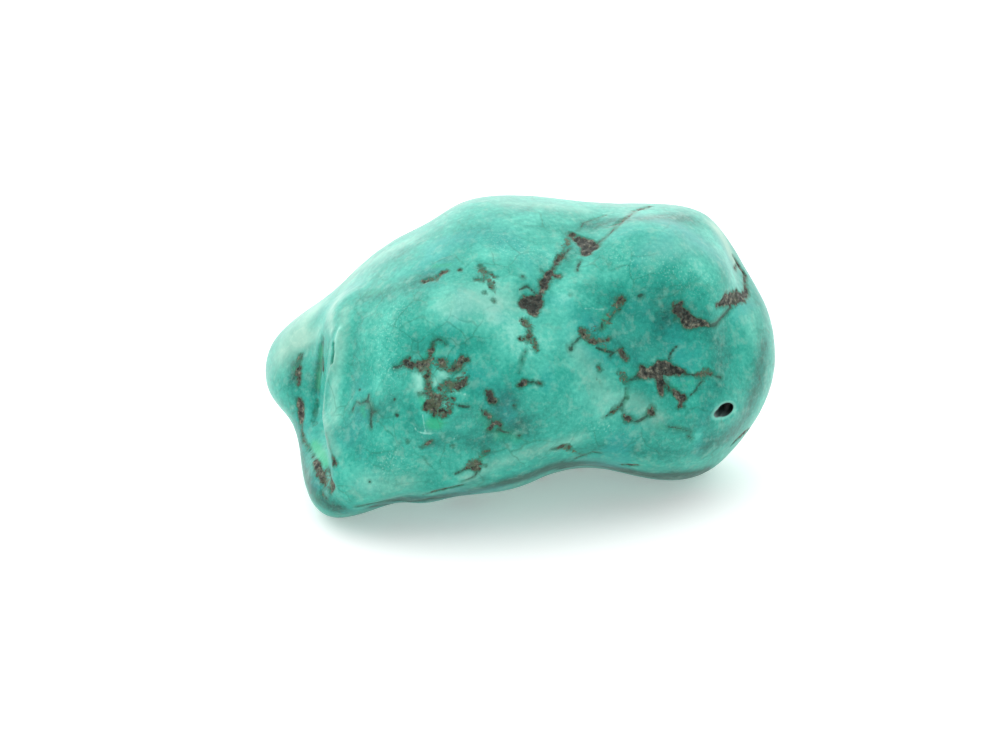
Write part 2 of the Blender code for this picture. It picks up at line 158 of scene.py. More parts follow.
# Crumbly brown patches and veins, by where they lie.
MATRIX = {
    "left lattice": (
        ((-8.0, -0.45, 0.2), (-7.5, -0.62, 0.28), (-7.0, -0.72, 0.3), (-6.55, -0.6, 0.26),
         (-6.2, -0.3, 0.18)),
        ((-7.6, -0.2, 0.1),),
        ((-6.9, -1.0, 0.14), (-6.5, -0.95, 0.12)),
        ((-6.2, -0.2, 0.12), (-6.12, 0.34, 0.14), (-6.0, 0.7, 0.06)),
        ((-5.5, -0.35, 0.14), (-5.3, -0.55, 0.26), (-5.2, -0.85, 0.12)),
        ((-4.75, -1.05, 0.14), (-4.35, -0.76, 0.26), (-3.95, -0.36, 0.26), (-3.6, -0.42, 0.16)),
        ((-5.6, -2.3, 0.12), (-5.05, -1.93, 0.2), (-4.75, -2.05, 0.24), (-4.2, -2.12, 0.24),
         (-3.8, -1.86, 0.18)),
        ((-3.8, -1.85, 0.12), (-3.6, -1.5, 0.08)),
        ((-4.9, -2.1, 0.14), (-4.8, -2.45, 0.12)),
        ((-6.3, -1.1, 0.12), (-6.4, -1.7, 0.18), (-6.35, -2.2, 0.22), (-6.25, -2.7, 0.14)),
        ((-7.0, -2.65, 0.06), (-6.5, -2.7, 0.08), (-6.0, -2.75, 0.18), (-5.7, -2.9, 0.1)),
        ((-5.7, -3.1, 0.1), (-5.2, -3.05, 0.1), (-4.8, -3.05, 0.1), (-4.55, -3.05, 0.08)),
        ((-4.65, -3.3, 0.08), (-4.75, -3.7, 0.1), (-5.1, -4.05, 0.12), (-5.5, -4.2, 0.1)),
        ((-6.35, -3.65, 0.26), (-6.0, -3.45, 0.38), (-5.7, -3.4, 0.22)),
        ((-6.0, -3.8, 0.25), (-5.86, -4.1, 0.18)),
        ((-5.55, -3.85, 0.1), (-5.3, -3.8, 0.12)),
        ((-5.15, -2.75, 0.09),),
    ),
    "crease vein": (
        ((7.9, 9.95, 0.05), (8.4, 10.1, 0.14), (9.0, 10.25, 0.08)),
        ((7.55, 9.6, 0.07), (7.2, 9.35, 0.1), (6.8, 9.1, 0.14), (6.45, 8.95, 0.08)),
        ((4.0, 8.05, 0.36), (4.5, 7.75, 0.56), (5.0, 7.5, 0.42)),
        ((4.6, 7.5, 0.46), (4.55, 7.1, 0.38)),
        ((3.9, 8.15, 0.14), (3.6, 8.3, 0.2)),
        ((2.75, 6.75, 0.2), (2.65, 6.6, 0.2), (2.35, 6.2, 0.1)),
        ((2.3, 6.0, 0.15), (2.1, 5.7, 0.24), (1.8, 5.3, 0.34), (1.6, 4.85, 0.32), (1.5, 4.45, 0.2)),
        ((2.3, 5.5, 0.1), (2.6, 5.5, 0.18)),
        ((1.45, 4.5, 0.12), (1.35, 4.2, 0.1), (1.3, 3.9, 0.2)),
        ((1.5, 5.85, 0.1),),
    ),
    "round patch": (
        ((0.3, 3.5, 0.4), (0.8, 3.5, 0.66), (1.2, 3.6, 0.42)),
        ((0.85, 3.3, 0.5), (0.9, 3.05, 0.4)),
        ((0.35, 4.1, 0.14),),
    ),
    "below the round patch": (
        ((0.15, 2.45, 0.14), (0.4, 2.25, 0.22), (0.65, 1.95, 0.14)),
        ((0.7, 1.6, 0.1), (0.65, 1.4, 0.12), (0.5, 1.1, 0.17)),
        ((1.0, 1.05, 0.08), (1.1, 0.65, 0.14), (1.1, 0.4, 0.1)),
        ((0.1, 1.15, 0.07),),
    ),
    "upper dashes": (
        ((-6.6, 5.1, 0.18), (-6.2, 5.25, 0.15), (-5.85, 5.2, 0.16), (-5.7, 5.4, 0.1), (-5.4, 5.65, 0.13)),
        ((-5.4, 5.65, 0.13), (-5.1, 5.75, 0.1)),
        ((-2.75, 6.1, 0.12), (-2.6, 5.9, 0.13), (-2.35, 5.7, 0.12), (-2.0, 5.6, 0.08), (-1.75, 5.4, 0.1)),
        ((-3.0, 5.2, 0.08), (-2.65, 5.15, 0.13), (-2.4, 5.25, 0.1)),
        ((-2.1, 4.9, 0.1), (-1.9, 4.7, 0.1)),
        ((-2.4, 4.3, 0.08),), ((-1.8, 3.75, 0.09),), ((-4.1, 5.85, 0.07),),
    ),
    "middle": (
        ((-0.05, -2.15, 0.13), (0.2, -2.0, 0.2), (0.35, -1.8, 0.1)),
        ((0.9, -1.85, 0.06), (1.1, -1.85, 0.07), (1.5, -1.98, 0.08)),
        ((-2.15, -2.6, 0.22), (-2.05, -2.95, 0.26), (-1.75, -3.2, 0.17)),
        ((-2.45, -4.0, 0.14), (-2.15, -4.3, 0.1)),
        ((-2.1, -5.15, 0.15), (-1.9, -4.8, 0.14), (-1.55, -4.7, 0.13), (-1.35, -4.9, 0.12),
         (-1.5, -5.15, 0.12)),
    ),
    "right lattice": (
        ((4.25, 1.55, 0.13), (4.5, 1.25, 0.16), (4.8, 1.0, 0.18), (5.2, 0.95, 0.15), (5.6, 1.0, 0.12)),
        ((5.6, 1.0, 0.1), (6.0, 1.0, 0.08), (6.2, 1.15, 0.05)),
        ((4.2, 1.85, 0.07), (4.5, 1.65, 0.07)),
        ((6.7, 3.85, 0.16), (7.0, 3.75, 0.26), (7.2, 3.95, 0.14)),
        ((6.9, 3.5, 0.18), (6.85, 3.25, 0.1)),
        ((6.6, 3.5, 0.1),),
        ((6.95, 0.3, 0.24), (7.1, 0.1, 0.3), (7.3, -0.2, 0.24)),
        ((5.4, -0.8, 0.1), (5.55, -1.0, 0.1), (5.4, -1.25, 0.04)),
        ((6.8, -1.2, 0.08), (7.1, -1.45, 0.18), (7.3, -1.8, 0.18)),
    ),
    "star patch": (
        ((8.5, -1.0, 0.24), (8.55, -1.4, 0.26), (9.3, -1.15, 0.4)),
        ((9.3, -1.2, 0.4), (9.8, -0.85, 0.54), (10.2, -0.95, 0.46)),
        ((10.2, -1.0, 0.44), (10.8, -1.1, 0.3), (11.5, -1.25, 0.08)),
        ((9.6, -1.5, 0.32), (9.7, -2.2, 0.26), (9.8, -2.7, 0.18)),
        ((10.1, -2.0, 0.1), (10.5, -2.35, 0.12), (10.9, -2.75, 0.2), (11.2, -3.0, 0.36)),
        ((11.2, -3.0, 0.34), (11.15, -3.35, 0.2), (10.9, -3.6, 0.1)),
        ((12.2, -1.4, 0.12), (12.6, -1.35, 0.2), (13.0, -1.15, 0.2), (13.35, -1.35, 0.1)),
        ((12.6, -1.7, 0.09),),
        ((8.2, -1.3, 0.08), (8.4, -1.25, 0.12)),
    ),
    "below the star": (
        ((6.2, -4.05, 0.08), (6.5, -3.8, 0.11), (6.8, -3.65, 0.14), (7.05, -3.85, 0.08)),
        ((7.2, -4.15, 0.18), (7.45, -4.4, 0.28)),
        ((9.1, -3.65, 0.22), (9.08, -3.95, 0.26)),
        ((7.3, -2.9, 0.08),),
    ),
    "right vein": (
        ((10.65, 3.55, 0.1), (10.85, 3.2, 0.3), (11.2, 2.8, 0.38), (11.65, 2.45, 0.38), (12.1, 2.25, 0.26)),
        ((12.1, 2.25, 0.26), (12.5, 2.1, 0.18), (12.95, 2.08, 0.09)),
        ((11.3, 2.5, 0.32), (11.45, 2.05, 0.26), (12.0, 2.05, 0.2)),
        ((11.15, 3.55, 0.08), (11.0, 3.3, 0.14)),
        ((10.7, 2.4, 0.12),),
        ((13.6, 3.4, 0.1), (13.85, 3.5, 0.18), (14.2, 3.85, 0.42), (14.8, 3.95, 0.5), (15.3, 3.98, 0.36)),
        ((14.8, 4.2, 0.2), (15.0, 4.45, 0.14)),
        ((14.6, 3.6, 0.2), (14.6, 3.35, 0.14)),
        ((15.3, 4.0, 0.22), (15.65, 4.3, 0.2), (15.6, 4.7, 0.17), (15.56, 5.1, 0.15), (15.5, 5.6, 0.18)),
        ((15.5, 5.6, 0.18), (15.15, 6.1, 0.2), (14.9, 6.5, 0.14), (14.7, 6.8, 0.08)),
        ((14.8, 5.9, 0.05), (14.9, 6.2, 0.08)),
    ),
    "lower edge": (
        ((-3.4, -7.4, 0.18), (-3.1, -7.5, 0.26), (-2.8, -7.6, 0.2), (-2.3, -7.62, 0.06)),
        ((-3.65, -7.75, 0.12), (-3.2, -7.8, 0.22), (-2.85, -7.9, 0.14)),
        ((-6.8, -6.4, 0.1), (-6.5, -6.2, 0.07), (-6.15, -5.97, 0.12)),
        ((-4.65, -6.25, 0.13),), ((-7.75, -5.9, 0.09),),
        ((-2.5, -6.78, 0.07), (-2.2, -6.66, 0.07)),
        ((2.6, -6.45, 0.05), (2.9, -6.3, 0.11), (3.2, -6.3, 0.14), (3.4, -6.5, 0.13)),
        ((7.1, -7.6, 0.08), (7.5, -7.6, 0.14), (8.0, -7.6, 0.07)),
        ((14.6, -6.2, 0.05), (15.0, -5.8, 0.13), (15.4, -5.4, 0.12), (15.8, -5.1, 0.05)),
        ((-6.0, -9.45, 0.05), (-5.5, -9.32, 0.1), (-4.9, -9.2, 0.09), (-4.0, -9.0, 0.1)),
    ),
    "blunt end": (
        ((-15.2, 0.0, 0.08), (-15.3, -0.7, 0.2), (-15.32, -1.3, 0.26), (-15.3, -2.0, 0.16)),
        ((-13.6, -0.3, 0.08), (-13.6, -0.8, 0.18), (-13.55, -1.2, 0.1)),
        ((-15.25, -3.1, 0.14), (-15.18, -3.5, 0.24), (-15.12, -4.0, 0.3), (-15.1, -4.6, 0.2)),
        ((-14.05, -3.1, 0.08), (-14.1, -3.5, 0.1), (-14.2, -4.2, 0.1), (-14.2, -4.6, 0.18)),
        ((-15.1, -5.1, 0.08), (-14.9, -5.9, 0.12), (-14.5, -6.6, 0.1), (-14.2, -7.1, 0.12)),
        ((-14.15, -7.3, 0.18), (-13.95, -7.8, 0.3), (-13.7, -8.3, 0.3), (-13.5, -8.8, 0.22)),
        ((-13.35, -7.9, 0.1), (-13.1, -8.4, 0.2), (-12.95, -9.0, 0.28), (-13.1, -9.3, 0.2)),
        ((-13.75, -9.4, 0.1), (-13.6, -9.75, 0.1)),
        ((-12.85, -7.1, 0.1), (-12.8, -7.5, 0.17)),
    ),
}

# Fine dark cracks, and painted shade drawn like them along the bottom edge and in the lip's slit.
CRACKS_AND_SHADE_LINES = {
    "left lattice": (
        ((-6.05, 0.7, 0.05), (-5.9, 1.02, 0.04), (-5.6, 1.08, 0.04), (-5.3, 0.95, 0.04), (-5.1, 0.7, 0.04)),
        ((-8.7, -0.85, 0.05), (-8.45, -0.85, 0.08), (-8.2, -0.75, 0.05), (-8.0, -0.6, 0.05)),
        ((-4.3, -3.45, 0.04), (-4.0, -3.55, 0.07), (-3.55, -3.57, 0.05)),
    ),
    "crease": (
        ((8.0, 9.95, 0.06), (7.55, 9.6, 0.06), (6.85, 9.0, 0.06), (6.4, 8.6, 0.07), (5.9, 8.15, 0.07)),
        ((5.9, 8.15, 0.07), (5.4, 7.8, 0.09), (5.2, 7.6, 0.09)),
        ((4.0, 8.55, 0.02), (4.4, 9.1, 0.03), (5.0, 9.35, 0.02), (6.0, 9.68, 0.01)),
        ((3.5, 7.4, 0.04), (3.1, 7.0, 0.05), (2.9, 6.8, 0.05)),
        ((2.4, 6.3, 0.06), (2.2, 5.9, 0.06)),
        ((1.0, 4.3, 0.04), (0.5, 4.75, 0.05), (0.0, 4.5, 0.05)),
        ((4.2, 6.5, 0.04), (4.0, 6.1, 0.05), (3.95, 5.8, 0.06)),
        ((0.6, 2.0, 0.04), (0.7, 1.5, 0.05), (1.0, 1.0, 0.05)),
        ((0.4, 0.3, 0.03), (0.1, -0.4, 0.03), (0.0, -1.2, 0.02)),
    ),
    "loop": (
        ((-8.65, -3.05, 0.07),), ((-8.5, -4.15, 0.12),), ((-11.1, -2.4, 0.08),),
        ((-11.6, -3.85, 0.06), (-11.5, -3.5, 0.05), (-11.3, -3.2, 0.06), (-11.1, -3.35, 0.06),
         (-10.9, -3.3, 0.05)),
        ((-10.9, -3.3, 0.05), (-10.55, -3.15, 0.07), (-10.4, -3.35, 0.05), (-10.28, -3.7, 0.07)),
        ((-10.28, -3.7, 0.07), (-10.25, -3.95, 0.09), (-10.3, -4.4, 0.05), (-10.3, -4.8, 0.07),
         (-10.25, -5.0, 0.08)),
        ((-10.2, -3.93, 0.06), (-9.95, -3.9, 0.05)),
        ((-10.5, -3.1, 0.04), (-10.45, -2.75, 0.04)),
    ),
    "middle": (
        ((-0.05, -5.55, 0.1),), ((-0.4, -3.5, 0.09),), ((0.2, 5.4, 0.08),), ((-10.35, -8.75, 0.06),),
        ((0.35, -1.8, 0.06), (0.9, -1.87, 0.05), (1.5, -1.97, 0.05)),
        ((-2.75, -3.7, 0.04), (-2.45, -4.0, 0.06)),
        ((-2.1, -4.35, 0.04), (-1.9, -4.7, 0.04)),
        ((-1.4, -5.15, 0.05), (-1.05, -5.35, 0.06), (-0.7, -5.4, 0.04)),
    ),
    "right": (
        ((6.2, 6.35, 0.06),), ((3.5, 4.15, 0.07),),
        ((8.2, 4.05, 0.07), (8.5, 4.15, 0.07)),
        ((11.6, -5.6, 0.09), (11.85, -5.75, 0.06)),
        ((5.3, 0.5, 0.06), (5.8, 0.3, 0.07), (6.4, 0.15, 0.06)),
        ((7.35, -2.3, 0.06), (7.3, -2.9, 0.05), (6.9, -3.6, 0.06)),
        ((7.5, -1.75, 0.05), (8.0, -1.5, 0.07), (8.4, -1.35, 0.08)),
        ((10.2, -4.95, 0.02), (11.0, -5.05, 0.03), (11.8, -5.3, 0.03)),
        ((6.75, 3.15, 0.04), (6.35, 2.7, 0.05), (6.1, 2.3, 0.04)),
        ((3.6, 0.7, 0.05), (3.85, 0.9, 0.05), (4.2, 1.3, 0.04)),
        ((3.32, 0.55, 0.04), (3.4, 0.35, 0.04), (3.6, 0.35, 0.04), (3.65, 0.6, 0.04)),
        ((5.2, -1.55, 0.03), (5.6, -1.95, 0.03)),
        ((5.6, 1.85, 0.05), (5.7, 2.25, 0.05)),
        ((7.5, -1.75, 0.06), (8.3, -1.62, 0.06)),
        ((7.2, 0.5, 0.03), (6.5, 0.2, 0.04), (6.2, -0.1, 0.06)),
        ((10.3, -0.3, 0.08), (10.35, 0.1, 0.07), (10.6, 0.4, 0.05), (10.85, 0.65, 0.04)),
        ((11.3, -1.27, 0.07), (12.0, -1.38, 0.06), (12.4, -1.35, 0.06)),
        ((12.6, -1.75, 0.07), (12.35, -2.1, 0.06), (12.1, -2.5, 0.06), (11.7, -2.85, 0.05)),
        ((9.85, -2.1, 0.08), (10.4, -2.5, 0.08)),
        ((13.4, -1.45, 0.05), (13.9, -1.55, 0.05)),
        ((12.9, 2.08, 0.1), (13.4, 2.05, 0.12), (13.85, 2.5, 0.1), (14.3, 3.0, 0.1), (14.55, 3.3, 0.08)),
        ((7.05, -3.6, 0.05), (7.1, -3.15, 0.05), (7.3, -2.9, 0.06)),
        ((5.85, -4.28, 0.04), (6.2, -4.05, 0.06)),
        ((7.6, -4.5, 0.07), (8.1, -4.6, 0.07), (8.5, -4.4, 0.06), (8.85, -4.1, 0.05)),
    ),
    "lower edge": (
        # Painted shade: these first three strokes are dark lines along the bottom edge, where the stone
        # meets the table.
        ((-11.3, -10.5, 0.06), (-10.3, -10.3, 0.1), (-9.4, -10.1, 0.1), (-8.5, -10.05, 0.1),
         (-7.5, -10.1, 0.05)),
        ((-10.4, -10.5, 0.08), (-8.5, -10.22, 0.14), (-6.2, -9.9, 0.12), (-4.4, -9.75, 0.06)),
        ((2.6, -7.85, 0.05), (4.1, -7.62, 0.13), (5.8, -7.78, 0.13), (7.6, -8.08, 0.12), (9.4, -8.4, 0.06)),
        ((-3.7, -7.8, 0.08), (-4.1, -8.05, 0.07), (-4.5, -8.2, 0.05)),
        ((-2.9, -8.05, 0.07), (-3.2, -8.45, 0.07), (-3.6, -8.6, 0.06), (-3.9, -8.72, 0.04)),
        ((3.6, -7.3, 0.05), (3.95, -7.1, 0.09), (4.6, -6.85, 0.04), (5.0, -6.68, 0.04), (5.5, -6.75, 0.03)),
        ((2.2, -6.5, 0.04), (2.8, -6.38, 0.06)),
        ((-6.7, -9.7, 0.04), (-6.0, -9.45, 0.06), (-5.2, -9.25, 0.06), (-4.1, -9.02, 0.06)),
    ),
    "blunt end": (
        # This first stroke is a crack with painted shade in the slit behind the lip.
        ((-12.9, 0.75, 0.08), (-12.9, 0.1, 0.15), (-12.95, -0.5, 0.08)),
        ((-13.6, 1.1, 0.04), (-13.65, 0.4, 0.05), (-13.6, -0.4, 0.05)),
        ((-15.0, 0.1, 0.04), (-15.2, -0.6, 0.05)),
        ((-15.05, -4.8, 0.04), (-15.05, -5.5, 0.05), (-14.9, -5.9, 0.05)),
        ((-13.4, -7.75, 0.05), (-13.1, -8.2, 0.07)),
        ((-13.35, -5.5, 0.04), (-13.1, -6.2, 0.05), (-12.9, -6.8, 0.05), (-12.82, -7.3, 0.05)),
        ((-13.5, -9.75, 0.06), (-13.3, -10.0, 0.04)),
        ((-13.5, -8.85, 0.06), (-13.2, -9.2, 0.06)),
    ),
}

# Patches where loose grains of matrix are strewn through the stone, with their reach.
STREWN = {
    "left lattice": (
        ((-6.6, -0.7, 0.8), (-5.3, -0.7, 0.7), (-4.2, -0.9, 0.7), (-4.3, -1.9, 0.7), (-5.0, -2.3, 0.7)),
        ((-6.3, -1.4, 0.5), (-6.2, -2.6, 0.6), (-5.9, -3.7, 0.8), (-5.1, -3.6, 0.7)),
    ),
    "crease": (
        ((-2.7, 5.8, 0.5), (-2.2, 5.3, 0.4), (-1.8, 4.4, 0.3)),
        ((3.4, 8.2, 0.4), (2.8, 6.7, 0.4)),
        ((0.4, 2.3, 0.5), (0.7, 1.3, 0.6), (1.1, 0.6, 0.4)),
        ((-6.4, 5.2, 0.4), (-5.4, 5.6, 0.3)),
    ),
    "right": (
        ((6.9, 3.7, 0.5), (6.2, 2.6, 0.5), (5.4, 1.6, 0.5), (4.4, 1.4, 0.4)),
        ((5.4, 0.8, 0.5), (6.2, 0.2, 0.5)),
        ((7.2, -1.5, 0.5),), ((12.8, -1.3, 0.5),), ((6.5, -3.9, 0.35),), ((14.9, 3.9, 0.4),),
    ),
    "edges": (
        ((-3.3, -7.7, 0.5), (-2.4, -6.8, 0.3)),
        ((-13.8, -8.2, 0.5), (-13.1, -9.0, 0.4)),
        ((3.0, -6.4, 0.3), (4.4, -6.9, 0.4)),
    ),
}

# Clouds of paler and of deeper blue-green, some of them painted light and shade: how much, and (across, up,
# reach) in mm.
PALE = 1.0
DEEP = -1.0
CLOUDS = {
    "hollow under the crown": (
        (0.8 * PALE, ((-5.4, 3.6, 1.3), (-4.0, 3.2, 1.6), (-2.2, 3.4, 1.9), (-0.8, 3.4, 1.6))),
        (0.5 * PALE, ((-1.6, 4.9, 1.0), (0.2, 5.4, 1.0))),
        (0.5 * PALE, ((-2.2, 2.4, 1.0), (-0.6, 2.2, 1.0))),
        (0.9 * PALE, ((-0.6, 0.8, 1.1), (0.6, 0.6, 1.2), (2.0, 2.6, 1.1), (2.8, 4.0, 0.9))),
        (0.3 * PALE, ((-6.2, 2.6, 0.8), (-4.6, 2.4, 0.8))),
        (0.25 * DEEP, ((-6.8, 1.0, 0.8), (-5.4, 1.0, 0.8), (-3.6, 0.6, 0.8))),
        (0.2 * PALE, ((-7.2, 2.2, 0.7), (-4.6, 0.2, 0.5), (-2.8, -0.6, 0.8), (-1.0, -1.6, 0.8))),
        (0.3 * DEEP, ((-6.4, 5.9, 0.7), (-4.8, 6.4, 0.7))),
    ),
    "crown": (
        (0.8 * PALE, ((-1.8, 7.2, 1.1), (0.2, 7.2, 1.3), (2.0, 6.9, 0.9))),
        # Painted sheen: paler along the top edge.
        (0.3 * PALE, ((-0.6, 9.2, 1.2), (3.0, 9.2, 0.8))),
        (0.8 * PALE, ((3.4, 5.2, 0.9), (4.6, 5.8, 1.1), (6.4, 6.0, 1.2))),
        (0.6 * PALE, ((8.4, 6.9, 1.0), (10.8, 6.9, 1.2), (12.8, 6.0, 1.0))),
        (0.3 * DEEP, ((-9.4, 6.4, 0.9), (-7.6, 7.4, 0.9), (-5.6, 8.6, 0.8))),
        (0.5 * PALE, ((0.4, 8.4, 0.9), (2.4, 8.0, 0.9))),
        # A painted highlight: the pale glare along the right shoulder's edge.
        (0.7 * PALE, ((13.8, 8.8, 0.9), (14.8, 7.4, 0.9), (15.8, 5.6, 0.9))),
        (0.9 * DEEP, ((4.6, 8.9, 0.6), (6.2, 9.2, 0.7), (8.8, 9.4, 0.8), (11.6, 9.4, 0.7))),
        (0.3 * DEEP, ((3.4, 6.6, 0.5), (3.0, 6.0, 0.4))),
    ),
    "middle": (
        (0.4 * PALE, ((1.4, -0.6, 1.4), (3.6, 1.6, 1.0), (3.8, -0.8, 1.2), (4.0, -3.0, 1.3))),
        (0.5 * PALE, ((6.2, -1.4, 0.8), (6.8, -2.6, 0.8), (5.6, -3.6, 1.0))),
        (0.95 * DEEP, ((-1.0, -3.2, 1.0), (-1.6, -4.8, 1.3), (0.2, -4.9, 1.1))),
        (0.55 * DEEP, ((-6.0, -6.0, 0.9), (-4.2, -5.6, 0.9), (-2.4, -6.4, 0.8))),
        (0.4 * DEEP, ((-8.4, -3.2, 0.7), (-7.6, -3.6, 0.6), (-7.0, -4.8, 0.6))),
        (0.4 * DEEP, ((5.0, 2.2, 0.8), (6.8, 0.8, 0.7), (8.0, 0.4, 0.7))),
        # Painted shade along the bottom edge.
        (0.4 * DEEP, ((-5.2, -9.6, 0.7), (-3.0, -8.6, 0.7))),
    ),
    "left lattice": (
        (0.8 * PALE, ((-6.98, -1.5, 0.34), (-6.95, -2.25, 0.3))),
        (0.9 * PALE, ((-5.92, -1.8, 0.22), (-5.88, -2.1, 0.2))),
        (0.9 * PALE, ((-5.45, -1.3, 0.2), (-5.15, -1.32, 0.2))),
        (0.4 * PALE, ((-5.6, -1.6, 1.2), (-5.4, -3.0, 1.0))),
        (0.4 * PALE, ((-6.4, -3.2, 0.5), (-6.6, -4.4, 0.5))),
        (1.0 * PALE, ((-4.35, -1.5, 0.16), (-3.95, -1.4, 0.16))),
        (0.7 * PALE, ((-5.5, -2.6, 0.2), (-4.5, -2.5, 0.2))),
        (0.8 * PALE, ((-5.15, -3.5, 0.2),)),
        (0.4 * PALE, ((-3.9, -2.7, 0.3),)),
    ),
    "left side": (
        # A painted highlight: a pale upright streak on the left of the face.
        (0.5 * PALE, ((-9.9, 2.2, 0.9), (-9.7, 0.0, 1.0), (-9.9, -1.8, 0.8))),
        (0.55 * DEEP, ((-10.6, 4.0, 0.9), (-8.8, 4.4, 0.9), (-6.4, 5.4, 0.9))),
        (0.3 * DEEP, ((-11.1, 2.4, 0.4), (-11.4, 0.0, 0.4), (-11.6, -2.4, 0.4))),
        (0.6 * DEEP, ((-11.0, -3.9, 0.7), (-9.4, -3.9, 0.7))),
        (0.3 * DEEP, ((-8.6, -0.8, 0.5),)),
        # A painted highlight along the crest of the blunt end's lip.
        (0.5 * PALE, ((-12.4, 1.6, 0.6), (-12.5, -0.6, 0.6), (-12.6, -2.6, 0.6), (-12.9, -4.6, 0.6))),
        (0.5 * PALE, ((-12.6, -6.4, 0.7), (-12.0, -8.2, 1.0), (-10.6, -8.8, 1.1))),
        (0.25 * PALE, ((-9.4, -5.6, 0.9), (-8.6, -7.6, 1.0))),
        (0.3 * DEEP, ((-15.8, -1.6, 0.7), (-15.4, -3.4, 0.6))),
        (1.1 * DEEP, ((-15.4, -5.0, 0.7), (-15.1, -7.0, 0.8), (-14.4, -9.2, 0.9), (-12.6, -10.6, 0.8))),
        # Painted shade in the groove behind the lip.
        (1.6 * DEEP, ((-13.72, 0.8, 0.4), (-13.9, -0.9, 0.5), (-14.05, -2.3, 0.42))),
        (1.0 * DEEP, ((-15.6, -0.6, 0.3), (-15.6, -1.5, 0.34))),
    ),
    "right side": (
        # This first deep cloud darkens the hollow on the right: partly deeper stone, partly painted shade.
        (0.45 * DEEP, ((7.0, 3.4, 1.2), (8.6, 3.0, 1.6), (10.0, 4.0, 1.5), (9.4, 1.2, 1.4))),
        (0.7 * DEEP, ((10.4, 2.6, 1.2), (12.6, 2.2, 1.3), (14.0, 0.4, 1.3), (13.6, -2.2, 1.3))),
        (0.9 * DEEP, ((16.8, 0.6, 0.8), (16.4, -2.2, 1.2), (15.2, -4.8, 1.3), (12.8, -6.4, 1.0))),
        (0.4 * DEEP, ((12.6, -3.4, 0.9), (13.2, -5.2, 1.0))),
        (0.3 * DEEP, ((6.4, 0.3, 0.6), (8.6, -1.0, 0.8), (10.6, -1.2, 0.9), (11.0, -3.0, 0.7))),
        (0.35 * DEEP, ((9.4, -4.7, 0.6), (11.0, -5.0, 0.6), (12.4, -4.6, 0.6))),
        (0.55 * DEEP, ((5.0, -6.4, 0.8), (7.6, -6.4, 1.1), (11.0, -6.8, 1.2))),
        # A painted highlight: the pale crescent on the right rim.
        (0.7 * PALE, ((15.6, 2.6, 0.8), (16.2, 1.2, 0.6))),
        (0.4 * DEEP, ((7.8, -2.4, 0.7), (8.6, -3.0, 0.7))),
        (0.3 * PALE, ((10.6, -2.0, 0.5), (12.2, -3.4, 0.6))),
        (0.7 * PALE, ((12.25, -5.55, 0.3),)),
        (0.7 * PALE, ((13.3, -4.3, 0.16), (14.0, -4.35, 0.16), (14.9, -3.8, 0.14))),
    ),
    "painted shade on the underside edge": (
        # Painted shade: the underside edge darkened where the stone meets the table.
        (1.6 * DEEP, ((-9.6, -10.3, 0.8), (-4.0, -9.6, 0.9), (-1.0, -8.8, 0.8), (2.6, -7.6, 0.8))),
        (2.6 * DEEP, (
            (3.6, -7.6, 1.0), (5.6, -7.6, 1.0), (7.6, -8.1, 1.1),
            (10.0, -8.4, 1.1), (12.4, -8.2, 0.9),
        )),
    ),
}

# Chalky, greyer skin, and painted sheen on the edges, with how pale each is.
CHALK_AND_SHEEN_STROKES = {
    "skin": (
        # Painted sheen: pale glare on the blunt end, along the top-left edge and on the lip's crest.
        (0.62, ((-16.4, 0.2, 1.3), (-15.6, 1.6, 1.7), (-14.5, 2.9, 1.5))),
        (0.5, ((-12.9, 3.4, 0.8), (-13.0, 1.8, 0.4))),
        (0.3, ((-12.9, 4.5, 0.9), (-11.3, 5.8, 1.0), (-9.3, 7.0, 0.9), (-7.4, 8.0, 0.7))),
        (0.5, (
            (-12.5, 1.4, 0.25), (-12.75, -0.5, 0.22), (-13.35, -2.3, 0.22),
            (-13.5, -4.0, 0.25), (-13.1, -5.6, 0.25), (-12.6, -6.8, 0.3),
        )),
        (0.35, ((-12.1, 3.0, 0.5), (-12.3, 0.6, 0.5), (-12.9, -2.6, 0.5), (-12.9, -4.6, 0.5))),
        (0.32, ((-4.6, 3.6, 1.1), (-2.8, 3.8, 1.3), (-0.8, 3.6, 1.0))),
        (0.3, ((-7.0, -1.5, 0.4), (-6.9, -2.5, 0.4))),
        (0.3, ((-5.2, -1.3, 0.4), (-6.0, -1.9, 0.3))),
        (0.25, ((4.0, 0.2, 0.8), (6.0, -3.0, 1.1), (8.0, -3.2, 0.6), (9.4, -4.4, 0.7))),
        # Painted highlights and sheen: the right rim's crescent, the shoulder's edge and the top edge.
        (0.15, ((15.9, 2.6, 0.9), (16.4, 1.0, 0.8))),
        (0.85, ((13.6, 8.7, 0.9), (14.3, 7.5, 0.8), (14.8, 6.4, 0.6))),
        (0.25, ((-1.0, 10.5, 0.9), (2.0, 10.3, 0.9), (4.4, 10.0, 0.8))),
        # Painted sheen on the blunt end.
        (0.4, ((-15.2, 0.9, 0.9), (-14.0, 1.6, 0.6))),
        (0.25, ((4.0, -5.8, 0.6), (1.0, -6.6, 0.6), (-3.6, -8.4, 0.6))),
        (0.15, ((9.0, 7.0, 0.9), (11.6, 7.4, 0.8))),
        (0.2, ((-10.4, -9.0, 1.0), (-7.6, -8.8, 0.8))),
    ),
}

# The black pits of the matrix, with their reach.
PITS = {
    "black": (
        ((0.45, 3.5, 0.36), (0.85, 3.4, 0.42)),
        ((-5.9, -3.4, 0.2),), ((-5.86, -4.07, 0.16),), ((-2.1, -2.75, 0.3),), ((4.95, 7.4, 0.25),),
        ((1.7, 5.0, 0.22),),
        ((10.85, 3.15, 0.24), (11.15, 2.85, 0.18)),
        ((9.85, -0.75, 0.2),), ((9.75, -2.1, 0.18),), ((11.4, -1.25, 0.15),), ((7.2, 0.0, 0.2),),
        ((0.15, -2.05, 0.15),), ((-1.9, -4.95, 0.14),), ((-7.3, -0.6, 0.12),),
    ),
}

